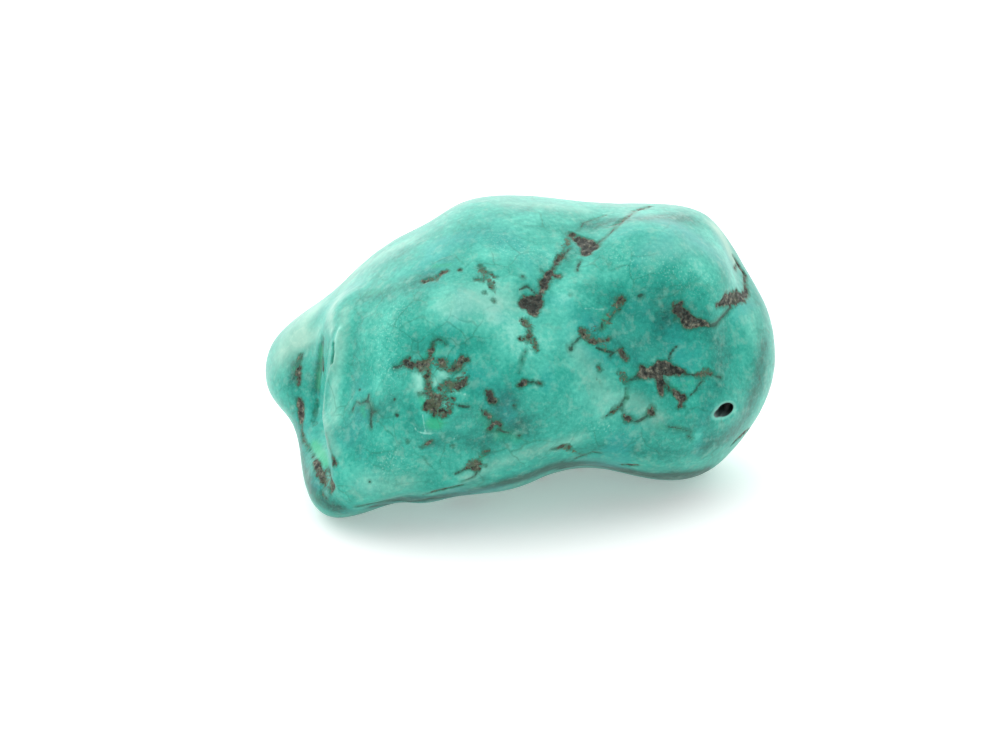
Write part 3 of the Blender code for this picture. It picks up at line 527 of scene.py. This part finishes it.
# Spots of a greener stone, and how green they are.
GREEN = {
    "left": (
        (1.0, ((-6.0, -4.7, 0.45), (-5.7, -4.75, 0.4))),
        (0.7, ((-10.9, -3.7, 0.45), (-10.7, -4.2, 0.3))),
        (0.6, ((-8.3, -0.4, 0.3),)),
        (0.6, ((-6.6, -0.1, 0.3), (-5.6, 0.2, 0.3))),
        (0.6, ((-4.4, -1.1, 0.3), (-3.8, -1.0, 0.3))),
        (0.7, ((-6.8, -2.9, 0.3), (-6.6, -3.6, 0.3))),
        (1.0, ((-14.2, -6.2, 0.5), (-13.7, -6.9, 0.5), (-13.3, -7.6, 0.4))),
        (0.8, ((-13.8, 0.4, 0.5), (-13.9, -0.9, 0.6), (-14.0, -2.2, 0.5))),
        (0.45, ((-15.3, -5.8, 0.7), (-15.0, -8.0, 0.8), (-14.1, -9.6, 0.8))),
        (0.7, ((-15.6, -0.9, 0.3),)),
    ),
    "middle": (
        (0.7, ((-2.6, -7.1, 0.4),)),
        (0.55, ((-2.5, -4.2, 0.9), (-1.4, -5.4, 0.9), (-0.2, -5.8, 0.6))),
        (0.35, ((-6.8, -4.8, 0.7), (-4.8, -4.4, 0.8), (-3.4, -3.4, 0.7))),
        (0.5, ((-5.9, 6.1, 0.4), (-4.9, 6.2, 0.3))),
        (0.45, ((-10.6, 4.3, 0.6), (-9.2, 4.4, 0.6), (-7.8, 4.9, 0.5))),
    ),
    "right": (
        (0.6, ((5.9, 0.3, 0.5), (5.2, 0.4, 0.4), (4.6, 0.8, 0.4))),
        (0.6, ((6.0, 2.6, 0.5), (5.6, 1.9, 0.5))),
        (0.5, ((3.8, 7.0, 0.6), (3.4, 6.3, 0.5))),
        (0.5, ((5.6, 8.6, 0.6), (6.8, 8.8, 0.5))),
        (0.5, ((9.6, -4.9, 0.5), (11.0, -5.1, 0.5))),
        (0.5, ((7.4, -2.6, 0.3), (7.2, -3.4, 0.3))),
        (0.6, ((10.2, -2.4, 0.3), (12.0, -1.8, 0.3))),
    ),
}

# White scratches and flecks in the polish.
SCRATCHES = {
    "left": (
        ((-7.25, -5.0, 0.03), (-7.1, -5.25, 0.06), (-6.6, -5.4, 0.07), (-6.1, -5.4, 0.07),
         (-5.8, -5.3, 0.03)),
        ((-6.7, -4.1, 0.04), (-6.6, -4.7, 0.06), (-6.5, -5.3, 0.04)),
        ((-3.95, -4.95, 0.05), (-3.65, -4.85, 0.03)),
        ((-3.5, -5.5, 0.04), (-3.3, -5.5, 0.04)),
        ((-4.8, -6.4, 0.06),),
        ((-4.6, -5.8, 0.04), (-4.4, -5.5, 0.02)),
        ((-3.85, -2.7, 0.1),), ((-5.3, 0.35, 0.08),), ((-8.7, -0.95, 0.06),),
    ),
    "upper": (
        ((4.5, 3.2, 0.04), (5.0, 3.25, 0.06), (5.3, 3.15, 0.04), (5.8, 3.15, 0.05)),
        ((-2.0, 5.35, 0.08),), ((-2.5, 5.5, 0.07),), ((5.7, -4.8, 0.08),), ((6.1, -4.9, 0.07),),
        ((5.9, -5.25, 0.08),),
    ),
}

# Stretches of the face with painted glints: fine white dots that stand in for light caught by the polished
# grain.
SPARKLING = {
    "face": (
        ((7.0, 6.8, 1.0), (8.2, 6.4, 1.0), (11.0, 6.0, 1.2), (13.0, 5.0, 1.0)),
        ((-9.6, 2.0, 1.2), (-9.4, -1.0, 1.2), (-8.6, 3.0, 1.0)),
        ((-4.6, 3.6, 1.0),),
        ((-1.0, 7.6, 1.2), (1.6, 6.8, 0.8)),
        ((-9.0, -7.6, 1.4),), ((5.6, -5.0, 0.6),),
    ),
}


def laid(stroke):
    """The stroke laid on the skin, along the lines from the eye: a list of (point, half width)."""
    met = []
    for across, up, half in stroke:
        aim = Vector((across, up, 0))
        way = (aim - EYE).normalized()
        hit = skin_tree.ray_cast(EYE, way)[0] or skin_tree.find_nearest(aim)[0]
        met.append((np.array(hit), half))
    return met


def all_laid(groups):
    """Every stroke of the groups, laid on the skin."""
    return [laid(stroke) for group in groups.values() for stroke in group]


def pieces_of(stroke):
    """The straight pieces of a stroke. A stroke of one point is a piece of no length."""
    return zip(stroke, stroke[1:] or stroke)


def gap_to(points, start, end):
    """Each point's distance from the straight line start-end, and how far along it that is."""
    along = end - start
    away = points - start
    share = np.clip(away @ along / max(along @ along, NO_LENGTH), 0, 1)
    return np.linalg.norm(away - share[:, None] * along, axis=1), share


def outside_strokes(points, strokes):
    """How far each point lies outside the nearest stroke's edge, in mm. Inside it this is below 0."""
    outside = np.full(len(points), FAR_OFF)
    for stroke in strokes:
        for (start, start_half), (end, end_half) in pieces_of(stroke):
            felt = FAR_OFF + np.linalg.norm(end - start) + max(start_half, end_half)
            close = np.flatnonzero(np.abs(points - start).max(axis=1) < felt)
            gap, share = gap_to(points[close], start, end)
            gap -= start_half + share * (end_half - start_half)
            outside[close] = np.minimum(outside[close], gap)
    return outside


def clouded(points, stroke):
    """1 on the stroke, fading outwards to 0 over about twice its reach."""
    cloud = np.zeros(len(points))
    for (start, start_reach), (end, end_reach) in pieces_of(stroke):
        gap, share = gap_to(points, start, end)
        reach = start_reach + share * (end_reach - start_reach)
        cloud = np.maximum(cloud, np.exp(-((gap / reach) ** 2)))
    return cloud


def nearest_cloud(points, strokes):
    """The strokes as clouds. Where they overlap, the strongest one counts."""
    return np.max([clouded(points, stroke) for stroke in strokes], axis=0)


def summed_clouds(points, groups):
    """The groups' strokes as clouds, each times its amount, all added up."""
    total = np.zeros(len(points))
    for group in groups.values():
        for amount, stroke in group:
            total += amount * clouded(points, laid(stroke))
    return total


matrix_strokes = all_laid(MATRIX)
crack_and_shade_strokes = all_laid(CRACKS_AND_SHADE_LINES)

# The side that is turned away has its own matrix, strewn by chance: long veins with patches on
# them, patches with a short vein of their own, and dots. It has its own clouds of colour too.
CHANCE = random.Random(5)
CLEAR_OF_SKIN = 60.0  # mm from the stone's middle
TURNED_AWAY = -0.06  # the skin is hidden where it faces the eye less than this
STEP = 0.45  # mm between the points of a wandering vein
UNEVEN = (0.5, 1.5)  # its half width comes and goes between these shares
VEINS = 9
VEIN_ARMS = 2
VEIN_STEPS = (9, 22)
VEIN_HALF = 0.055
VEIN_SWAY_DEG = 24.0
BEADS = slice(2, None, 5)  # the points of a vein's last arm that carry a patch
BEAD_STEPS = 2
BEAD_HALVES = (0.12, 0.26)
BEAD_SWAY_DEG = 40.0
PATCHES = 20
PATCH_ARMS = 3
PATCH_STEPS = (1, 4)
PATCH_HALVES = (0.1, 0.32)
PATCH_SWAY_DEG = 35.0
TAIL_STEPS = (3, 9)
TAIL_HALF = 0.05
DOTS = 46
DOT_HALVES = (0.05, 0.14)
HIDDEN_CLOUDS = 34
CLOUD_STEPS = (1, 5)
CLOUD_REACHES = (0.8, 1.8)
CLOUD_SWAY_DEG = 30.0
PITTED = slice(None, None, 2)  # every second hidden patch has a black pit
CRUMBLED = slice(None, None, 3)  # and every third has loose grains round it
CRUMBLED_REACH = 0.5


def is_hidden(place, normal):
    return normal.dot((EYE - place).normalized()) < TURNED_AWAY


def on_hidden_skin():
    """A chance place on the skin that the face's eye can't see, and its normal."""
    while True:
        way = Vector([CHANCE.gauss(0, 1) for _ in range(3)]).normalized()
        place, normal = skin_tree.ray_cast(way * CLEAR_OF_SKIN, -way)[:2]
        if is_hidden(place, normal):
            return place, normal


def wander(place, normal, steps, half, sway_deg):
    """A vein from that place on, over the hidden skin: a list of (point, half width)."""
    way = normal.orthogonal()
    way.rotate(Matrix.Rotation(CHANCE.uniform(0, 2 * math.pi), 3, normal))
    vein = [(np.array(place), half)]
    for _ in range(steps):
        place, normal = skin_tree.find_nearest(place + way * STEP)[:2]
        if not is_hidden(place, normal):
            break
        vein.append((np.array(place), half * CHANCE.uniform(*UNEVEN)))
        way = (way - normal * way.dot(normal)).normalized()
        way.rotate(Matrix.Rotation(math.radians(CHANCE.gauss(0, sway_deg)), 3, normal))
    return vein


hidden_veins = []
hidden_patches = []
for _ in range(VEINS):
    place, normal = on_hidden_skin()
    for _ in range(VEIN_ARMS):
        steps = CHANCE.randint(*VEIN_STEPS)
        hidden_veins.append(wander(place, normal, steps, VEIN_HALF, VEIN_SWAY_DEG))
    for point, _ in hidden_veins[-1][BEADS]:
        middle, facing = skin_tree.find_nearest(point)[:2]
        half = CHANCE.uniform(*BEAD_HALVES)
        hidden_patches.append(wander(middle, facing, BEAD_STEPS, half, BEAD_SWAY_DEG))
for _ in range(PATCHES):
    place, normal = on_hidden_skin()
    half = CHANCE.uniform(*PATCH_HALVES)
    for _ in range(PATCH_ARMS):
        steps = CHANCE.randint(*PATCH_STEPS)
        hidden_patches.append(wander(place, normal, steps, half, PATCH_SWAY_DEG))
    steps = CHANCE.randint(*TAIL_STEPS)
    hidden_veins.append(wander(place, normal, steps, TAIL_HALF, VEIN_SWAY_DEG))
for _ in range(DOTS):
    place, normal = on_hidden_skin()
    hidden_patches.append([(np.array(place), CHANCE.uniform(*DOT_HALVES))])
hidden_clouds = []
for _ in range(HIDDEN_CLOUDS):
    place, normal = on_hidden_skin()
    steps = CHANCE.randint(*CLOUD_STEPS)
    reach = CHANCE.uniform(*CLOUD_REACHES)
    drift = wander(place, normal, steps, reach, CLOUD_SWAY_DEG)
    hidden_clouds.append((CHANCE.uniform(DEEP, PALE), drift))

matrix_strokes += hidden_patches
crack_and_shade_strokes += hidden_veins
pit_strokes = all_laid(PITS) + [patch[:1] for patch in hidden_patches[PITTED]]
crumbled = [[(patch[0][0], CRUMBLED_REACH)] for patch in hidden_patches[CRUMBLED]]
strewn_strokes = all_laid(STREWN) + crumbled

# ---- The worn relief ----
# The tumbling left the skin gently uneven. The matrix is softer than the turquoise and crumbles, so
# it lies lower and rougher; the blunt end keeps a sharper lip beside its hollow.
SWELLS = ((3.2, 0.055), (1.1, 0.016), (0.45, 0.006))  # width and height in mm
MATRIX_DEPTH = 0.09
CRACK_DEPTH = 0.05
EDGE = 0.22  # mm from the level of the stone down to that of the matrix
CRUMB = 0.3  # mm, the width of the matrix's crumbs

# The blunt end's lip, groove and pit: their heights in mm, and where they run.
LIP = {
    "blunt end": (
        (0.14, (
            (-12.4, 1.6, 0.3), (-12.75, -0.5, 0.28), (-13.3, -2.2, 0.28),
            (-13.5, -4.0, 0.3), (-13.15, -5.6, 0.32), (-12.75, -6.8, 0.4),
        )),
        (-0.14, ((-11.4, 2.0, 0.7), (-11.8, -0.8, 0.6), (-12.0, -3.2, 0.6))),
        (-0.18, ((-13.75, 0.9, 0.35), (-13.9, -0.9, 0.35), (-14.1, -2.6, 0.35), (-14.0, -4.4, 0.3))),
        (-0.3, ((-12.9, 0.7, 0.14), (-12.9, 0.1, 0.18), (-12.95, -0.5, 0.14))),
        (0.06, ((-10.4, 2.4, 0.7), (-10.3, -0.6, 0.6))),
    ),
}


def rolling(points, width):
    """Soft noise from about -1 to 1, whose swells are this wide in mm."""
    return np.array([noise.noise(Vector(point) / width) for point in points])


def worn(outside):
    """1 well inside a stroke and 0 outside it, over the width of the edge."""
    return np.clip(0.5 - outside / EDGE, 0, 1)


points = places(skin)
crumbs = rolling(points, CRUMB)
heights = sum(height * rolling(points, width) for width, height in SWELLS)
heights = heights + summed_clouds(points, LIP)
depth = MATRIX_DEPTH * worn(outside_strokes(points, matrix_strokes)) * (1 + crumbs)
depth = np.maximum(depth, CRACK_DEPTH * worn(outside_strokes(points, crack_and_shade_strokes)))
push_out(skin, heights - depth)

# ---- The drilled hole ----
# A fine hole drilled straight through the narrow end. The drill slipped where it went in, so the
# mouth is drawn out into a short slot with a worn lip.
HOLE_SIDES = 40
HOLE_OVERSHOOT = 12.0  # mm beyond each mouth
HOLE_LENGTH = 40.0
SLIP = Vector((-0.37, -0.1, 0.0))
SLIP_RADIUS = 0.26
SLIP_DEPTH = 1.3
SLIP_LENGTH = 2.8
LIP_REACH = 0.85  # mm from the hole's line to where the worn lip starts
LIP_DEPTH = 0.1


def rod(start, end, radius):
    """A closed round rod in mm, as an object that a Boolean modifier can use."""
    made = bmesh.new()
    way = end - start
    bmesh.ops.create_cone(
        made, cap_ends=True, segments=HOLE_SIDES, radius1=radius, radius2=radius, depth=way.length
    )
    stood = Matrix.Translation((start + end) / 2) @ way.to_track_quat("Z", "Y").to_matrix().to_4x4()
    made.transform(stood)
    mesh = bpy.data.meshes.new("rod")
    made.to_mesh(mesh)
    made.free()
    made_object = bpy.data.objects.new("rod", mesh)
    bpy.context.scene.collection.objects.link(made_object)
    return made_object


off_edge = (from_bore(places(skin)) - BORE_RADIUS) / (LIP_REACH - BORE_RADIUS)
push_out(skin, -LIP_DEPTH * np.clip(1 - off_edge, 0, 1) ** 2)
blank_mesh = bpy.data.meshes.new("undrilled")
skin.to_mesh(blank_mesh)
skin.free()
undrilled = bpy.data.objects.new("undrilled", blank_mesh)
bpy.context.scene.collection.objects.link(undrilled)
bore_start = BORE_MOUTH - BORE_INWARD * HOLE_OVERSHOOT
slip_end = BORE_MOUTH + SLIP + BORE_INWARD * SLIP_DEPTH
slip_start = slip_end - BORE_INWARD * SLIP_LENGTH
rods = [
    rod(bore_start, bore_start + BORE_INWARD * HOLE_LENGTH, BORE_RADIUS),
    rod(slip_start, slip_end, SLIP_RADIUS),
]
for tool in rods:
    cut = undrilled.modifiers.new("drill", "BOOLEAN")
    cut.operation = "DIFFERENCE"
    cut.solver = "EXACT"
    cut.object = tool
drilled = undrilled.evaluated_get(bpy.context.evaluated_depsgraph_get())
nugget_mesh = bpy.data.meshes.new_from_object(drilled)
nugget_mesh.name = "polished_nugget"
for used in [undrilled] + rods:
    bpy.data.objects.remove(used)

# ---- The finished nugget ----
# One stone, as it comes from the polishing barrel: blue-green, with chalky and greener stretches,
# and dull brown matrix in pits that the polish doesn't reach. Each vertex keeps how far it lies
# from the strokes, and the colour goes on in coats, from the body to the scratches.
# Some of the colour is painted light and shade: sheen and glints on the edges, dark lines along the bottom
# edge, and a dark hole.
SHARP_DEG = 50.0  # the hole's edges turn more than this and stay sharp


def keep(name, values):
    """Stores one number for each vertex of the finished nugget, under this name."""
    attribute = nugget_mesh.attributes.new(name, "FLOAT", "POINT")
    attribute.data.foreach_set("value", values.astype(np.float32))


points = np.array([vertex.co for vertex in nugget_mesh.vertices])
keep("matrix", outside_strokes(points, matrix_strokes))
keep("crack", outside_strokes(points, crack_and_shade_strokes))
keep("scratch", outside_strokes(points, all_laid(SCRATCHES)))
hidden_tint = sum(amount * clouded(points, stroke) for amount, stroke in hidden_clouds)
keep("tint", summed_clouds(points, CLOUDS) + hidden_tint)
keep("chalk", summed_clouds(points, CHALK_AND_SHEEN_STROKES))
keep("strewn", nearest_cloud(points, strewn_strokes))
keep("pit", nearest_cloud(points, pit_strokes))
keep("green", summed_clouds(points, GREEN))
keep("sparkle", nearest_cloud(points, all_laid(SPARKLING)))
off_slip = gap_to(points, np.array(slip_start), np.array(slip_end))[0] - SLIP_RADIUS
keep("bore", np.minimum(from_bore(points) - BORE_RADIUS, off_slip))
nugget_mesh.shade_smooth()
nugget_mesh.set_sharp_from_angle(angle=math.radians(SHARP_DEG))
nugget_mesh.transform(on_table)
# The swells are worn away again where the stone lies on the table.
for vertex in nugget_mesh.vertices:
    vertex.co.z = max(vertex.co.z, 0)
nugget = bpy.data.objects.new("polished_nugget", nugget_mesh)
bpy.context.scene.collection.objects.link(nugget)


class Tone:
    """One socket of a material. Sums and products of Tones and numbers add its Math nodes."""

    def __init__(self, tree, socket=None):
        self.tree = tree
        self.socket = socket

    def node(self, kind, settings, inputs, output=0):
        """Any node: its settings are set first, then its inputs are given values or links."""
        made = self.tree.nodes.new(kind)
        for name, value in settings.items():
            if name == "stops":
                set_stops(made.color_ramp, value)
            else:
                setattr(made, name, value)
        for name, value in inputs.items():
            if isinstance(value, Tone):
                self.tree.links.new(value.socket, made.inputs[name])
            else:
                made.inputs[name].default_value = value
        return Tone(self.tree, made.outputs[output])

    def maths(self, operation, first, second=0.0):
        return self.node("ShaderNodeMath", {"operation": operation}, {0: first, 1: second})

    def __add__(self, other):
        return self.maths("ADD", self, other)

    def __sub__(self, other):
        return self.maths("SUBTRACT", self, other)

    def __rsub__(self, other):
        return self.maths("SUBTRACT", other, self)

    def __mul__(self, other):
        return self.maths("MULTIPLY", self, other)

    __radd__ = __add__
    __rmul__ = __mul__

    def step(self, low, high, top=1.0):
        """0 at low, top at high, and a smooth rise between them. High may be below low."""
        return self.node(
            "ShaderNodeMapRange",
            {"interpolation_type": "SMOOTHSTEP"},
            {"Value": self, "From Min": low, "From Max": high, "To Max": top},
        )

    def colour(self, zero, one):
        """A mix of two colours, where this tone is the share of the second."""
        return self.node("ShaderNodeMix", {"data_type": "RGBA"}, {0: self, 6: zero, 7: one}, 2)


def set_stops(ramp, stops):
    while len(ramp.elements) < len(stops):
        ramp.elements.new(1.0)
    for element, (place, colour) in zip(ramp.elements, stops):
        element.position = place
        element.color = colour


stone = bpy.data.materials.new("polished_turquoise")
stone.use_nodes = True
blank = Tone(stone.node_tree)
surface = stone.node_tree.nodes["Principled BSDF"]
spot = blank.node("ShaderNodeTexCoord", {}, {}, "Object")


def kept(name):
    """What the vertices keep under this name."""
    return blank.node("ShaderNodeAttribute", {"attribute_name": name}, {}, "Fac")


BLOTCH = 0.5  # the width of a noise's blotches, against its wavelength
LEVEL = 0.5  # what a cloud comes to on the whole


def cloud(width, detail=3.0, roughness=0.55, twist=0.0, shift=0.0):
    """Soft noise from 0 to 1, whose blotches are about this many mm wide."""
    where = spot
    if shift:
        aside = (shift, shift, shift)
        where = blank.node("ShaderNodeVectorMath", {"operation": "ADD"}, {0: spot, 1: aside})
    return blank.node(
        "ShaderNodeTexNoise",
        {},
        {
            "Vector": where,
            "Scale": BLOTCH / (width * MM),
            "Detail": detail,
            "Roughness": roughness,
            "Distortion": twist,
        },
    )


# The body: from the deepest blue-green to the palest, with each noise's share in it.
BODY = (
    (0.0, (0.001, 0.09, 0.066, 1)),
    (0.25, (0.004, 0.23, 0.178, 1)),
    (0.5, (0.022, 0.37, 0.283, 1)),
    (0.75, (0.082, 0.545, 0.425, 1)),
    (1.0, (0.25, 0.71, 0.585, 1)),
)
BODY_MIDDLE = 0.49
BROAD_SHARE = 0.38
PATCHY_SHARE = 0.44
FINE_SHARE = 0.34
GRAIN_SHARE = 0.46
TINT_SHARE = 0.39
TINT_MOTTLE = 1.2
broad = cloud(width=7.0, detail=2.0, roughness=0.5, twist=0.4) - LEVEL
patchy = cloud(width=1.6, detail=4.0, roughness=0.6, twist=0.8, shift=0.013) - LEVEL
fine = cloud(width=0.5, roughness=0.6, twist=0.3, shift=0.027) - LEVEL
grain = cloud(width=0.14, detail=2.0, roughness=0.6, shift=0.033) - LEVEL
# The tint carries painted shade along the underside edge and painted highlights on the edges, as well as
# the stone's own clouds.
tint = kept("tint") * (patchy * TINT_MOTTLE + 1)
mottled = broad * BROAD_SHARE + patchy * PATCHY_SHARE + fine * FINE_SHARE + grain * GRAIN_SHARE
depth_of_colour = mottled + tint * TINT_SHARE + BODY_MIDDLE
body = blank.node("ShaderNodeValToRGB", {"stops": BODY}, {"Fac": depth_of_colour}, "Color")

# Bluer blotches, chalky skin with painted sheen on its edges, and spots of greener stone.
BLUER = (0.02, 0.36, 0.36, 1)
CHALK_AND_SHEEN_GREY = (0.35, 0.6, 0.485, 1)
CHALK_MOTTLE = 1.6
GREENER = (0.014, 0.42, 0.2, 1)
GREEN_PATCHY = 0.8
GREEN_FINE = 0.5
bluish = cloud(width=2.6, roughness=0.5, twist=0.5, shift=0.051).step(low=0.5, high=0.75, top=0.45)
body = bluish.colour(body, BLUER)
bloom = cloud(width=0.4, roughness=0.65, twist=0.15, shift=0.062).step(low=0.48, high=0.74, top=0.24)
chalky_and_sheen = bloom + kept("chalk") * (patchy * CHALK_MOTTLE + 1)
body = chalky_and_sheen.colour(body, CHALK_AND_SHEEN_GREY)
green = kept("green") + patchy * GREEN_PATCHY + fine * GREEN_FINE
body = green.step(low=0.25, high=1.1, top=0.75).colour(body, GREENER)

# The matrix's edge is broken up by its crumbs, most of all where loose grains are strewn.
EDGE_CRUMB = 0.5
STREWN_CRUMB = 0.7
EDGE_WOBBLE = 0.4
CROWDING = 0.16
crumb = cloud(width=0.2, roughness=0.65, shift=0.041) - LEVEL
wobble = cloud(width=0.55, detail=2.0, roughness=0.5, shift=0.057) - LEVEL
strewn = kept("strewn")
matrix_off = kept("matrix") + crumb * (strewn * STREWN_CRUMB + EDGE_CRUMB) + wobble * EDGE_WOBBLE
crowded = (crumb + strewn * CROWDING).step(low=0.19, high=0.24)
loose = crowded * strewn.step(low=0.25, high=0.5, top=0.85)

# The stone is stained dark green round the matrix, and among its loose grains.
STAIN = (0.008, 0.115, 0.062, 1)
MURK_CRUMB = 1.8
murk = (strewn + crumb * MURK_CRUMB + wobble).step(low=0.5, high=1.3, top=0.5)
body = murk.colour(body, STAIN)
body = matrix_off.step(low=0.24, high=0.02, top=0.7).colour(body, STAIN)

# A faint net of stained hairlines, stronger among the loose grains. Sizes are in mm.
NET_CELL = 2.1
NET_BEND = 1.6
NET_BEND_WIDTH = 1.2
NET_STREWN = 0.45
bend = blank.node(
    "ShaderNodeTexNoise", {}, {"Vector": spot, "Scale": BLOTCH / (NET_BEND_WIDTH * MM)}, "Color"
)
bent_spot = blank.node(
    "ShaderNodeVectorMath",
    {"operation": "MULTIPLY_ADD"},
    {0: bend, 1: (NET_BEND * MM, NET_BEND * MM, NET_BEND * MM), 2: spot},
)
net_line = blank.node(
    "ShaderNodeTexVoronoi",
    {"feature": "DISTANCE_TO_EDGE"},
    {"Vector": bent_spot, "Scale": 1 / (NET_CELL * MM)},
)
net_here = cloud(width=2.4, detail=2.0, roughness=0.5, shift=0.073).step(low=0.46, high=0.66, top=0.35)
netted = net_line.step(low=0.045, high=0.0) * (net_here + strewn * NET_STREWN)
body = netted.colour(body, STAIN)

# Cracks, with the same stain at their sides. Dark lines of painted shade along the bottom edge and in the
# lip's slit go on the same way.
CRACK_AND_SHADE_LINE = (0.012, 0.045, 0.03, 1)
CRACK_CRUMB = 0.22
CRACK_SHARE = 0.82
CRACK_SIDE_WOBBLE = 0.5
beside_crack_and_shade = kept("crack") + wobble * CRACK_SIDE_WOBBLE
body = beside_crack_and_shade.step(low=0.28, high=0.0, top=0.5).colour(body, STAIN)
in_crack_and_shade_line = (kept("crack") + crumb * CRACK_CRUMB).step(low=0.07, high=-0.02)
paint = (in_crack_and_shade_line * (wobble + CRACK_SHARE)).colour(body, CRACK_AND_SHADE_LINE)

# The brown rock, grain by grain: black in its pits, and olive at its edges and in loose grains.
ROCK_DARK = (0.007, 0.013, 0.009, 1)
ROCK_BROWN = (0.064, 0.067, 0.052, 1)
ROCK_TAN = (0.19, 0.195, 0.14, 1)
OLIVE = (0.11, 0.15, 0.08, 1)
TAN_IN_PITS = -0.2
PIT_SHARE = 0.8
rock_grain = cloud(width=0.16, detail=2.0, roughness=0.6, shift=0.07)
pit = kept("pit")
rock = rock_grain.step(low=0.38, high=0.56).colour(ROCK_DARK, ROCK_BROWN)
rock = (rock_grain + pit * TAN_IN_PITS).step(low=0.55, high=0.7).colour(rock, ROCK_TAN)
rock = (pit * PIT_SHARE).colour(rock, ROCK_DARK)
speckle = cloud(width=0.13, detail=2.0, roughness=0.6, shift=0.09).step(low=0.42, high=0.56, top=0.5)
olive = matrix_off.step(low=-0.1, high=0.02, top=0.3) + strewn * speckle
rock = olive.colour(rock, OLIVE)
in_matrix = blank.maths("MAXIMUM", matrix_off.step(low=0.05, high=-0.04), loose)
paint = in_matrix.colour(paint, rock)

# White scratches, and painted glints where light catches the polished grain.
WHITE = (0.42, 0.86, 0.74, 1)
SCRATCH_CRUMB = 0.2
SCRATCH_SHARE = 0.5
SPARKLE_HERE = 0.8
SPARKLE_ANYWHERE = 0.2
scratched = (kept("scratch") + crumb * SCRATCH_CRUMB).step(low=0.05, high=-0.05)
glint = cloud(width=0.065, detail=1.0, roughness=0.5, shift=0.083).step(low=0.55, high=0.72, top=0.26)
sparkle = glint * (kept("sparkle") * SPARKLE_HERE + SPARKLE_ANYWHERE)
white = blank.maths("MAXIMUM", scratched * (fine + SCRATCH_SHARE), sparkle)
paint = white.colour(paint, WHITE)

# The hole's rim is rubbed pale. Its wall is darkened by grey dust and by painted shade inside the hole.
RIM = (0.24, 0.62, 0.5, 1)
DUST_AND_SHADE = (0.065, 0.075, 0.075, 1)
bore = kept("bore")
paint = bore.step(low=0.26, high=0.1, top=0.42).colour(paint, RIM)
paint = bore.step(low=0.06, high=0.0, top=0.9).colour(paint, DUST_AND_SHADE)

# The polish: soft, uneven, and gone where the matrix is.
SPECULAR = 0.28
ROUGHNESS = 0.34
ROUGHER_PATCHY = 0.2
ROUGHER_MATRIX = 0.25
RELIEF_DEPTH = 0.02  # mm
RELIEF_STRENGTH = 0.6
RELIEF_GRAIN = 0.25
RELIEF_FINE = 0.4
RELIEF_ROCK = 1.6
roughness = ROUGHNESS + patchy * ROUGHER_PATCHY + in_matrix * ROUGHER_MATRIX
relief = grain * RELIEF_GRAIN + fine * RELIEF_FINE + in_matrix * rock_grain * RELIEF_ROCK
bumps = blank.node(
    "ShaderNodeBump",
    {},
    {"Strength": RELIEF_STRENGTH, "Distance": RELIEF_DEPTH * MM, "Height": relief},
    "Normal",
)
links = stone.node_tree.links
links.new(paint.socket, surface.inputs["Base Color"])
links.new(roughness.socket, surface.inputs["Roughness"])
links.new(bumps.socket, surface.inputs["Normal"])
surface.inputs["Specular IOR Level"].default_value = SPECULAR
nugget_mesh.materials.append(stone)
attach(nugget, "root")
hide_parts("nugget")

# ---- The table and the light ----
# The stone lies on a sheet of white paper. White light comes from all round, most of it over the
# stone's crown from behind, and one soft square panel stands to the left.
PAPER_HALF = 0.6  # metres
PAPER = (0.86, 0.86, 0.86, 1)
PAPER_ROUGHNESS = 0.9
PAPER_GLOW = 0.3
WHITE_LIGHT = (1, 1, 1, 1)
BRIGHTEST = Vector((-0.22, 0.78, -0.58))  # the way to it, in the stone's axes
GLOW = 1.84
GLOW_FALL = 2.5
DIMMEST = 0.53
PANEL_PLACE = Vector((-230, 120, 120))  # mm, in the stone's axes
PANEL_SIZE = 220
PANEL_WATTS = 0.05

paper_shape = bmesh.new()
bmesh.ops.create_grid(paper_shape, x_segments=1, y_segments=1, size=PAPER_HALF)
paper_mesh = bpy.data.meshes.new("floor")
paper_shape.to_mesh(paper_mesh)
paper_shape.free()
paper = bpy.data.materials.new("white_paper")
paper.use_nodes = True
sheet = paper.node_tree.nodes["Principled BSDF"]
sheet.inputs["Base Color"].default_value = PAPER
sheet.inputs["Roughness"].default_value = PAPER_ROUGHNESS
sheet.inputs["Specular IOR Level"].default_value = 0
sheet.inputs["Emission Color"].default_value = WHITE_LIGHT
sheet.inputs["Emission Strength"].default_value = PAPER_GLOW
paper_mesh.materials.append(paper)
floor = bpy.data.objects.new("floor", paper_mesh)
bpy.context.scene.collection.objects.link(floor)

world = bpy.data.worlds.new("studio")
bpy.context.scene.world = world
world.use_nodes = True
air = Tone(world.node_tree)
backdrop = world.node_tree.nodes["Background"]
backdrop.inputs["Color"].default_value = WHITE_LIGHT
direction = air.node("ShaderNodeTexCoord", {}, {}, "Generated")
brightest = (on_table.to_3x3() @ BRIGHTEST).normalized()
towards = air.node(
    "ShaderNodeVectorMath", {"operation": "DOT_PRODUCT"}, {0: direction, 1: brightest}, "Value"
)
share = air.maths("POWER", towards.step(-1, 1), GLOW_FALL)
world.node_tree.links.new((share * GLOW + DIMMEST).socket, backdrop.inputs["Strength"])

panel = bpy.data.lights.new("left_panel", "AREA")
panel.size = PANEL_SIZE * MM
panel.energy = PANEL_WATTS
lamp = bpy.data.objects.new("left_panel", panel)
bpy.context.scene.collection.objects.link(lamp)
lamp.location = on_table @ PANEL_PLACE
lamp.rotation_mode = "QUATERNION"
lamp.rotation_quaternion = (lamp.location - on_table.translation).to_track_quat("Z", "Y")

bpy.context.scene.view_settings.view_transform = "Standard"
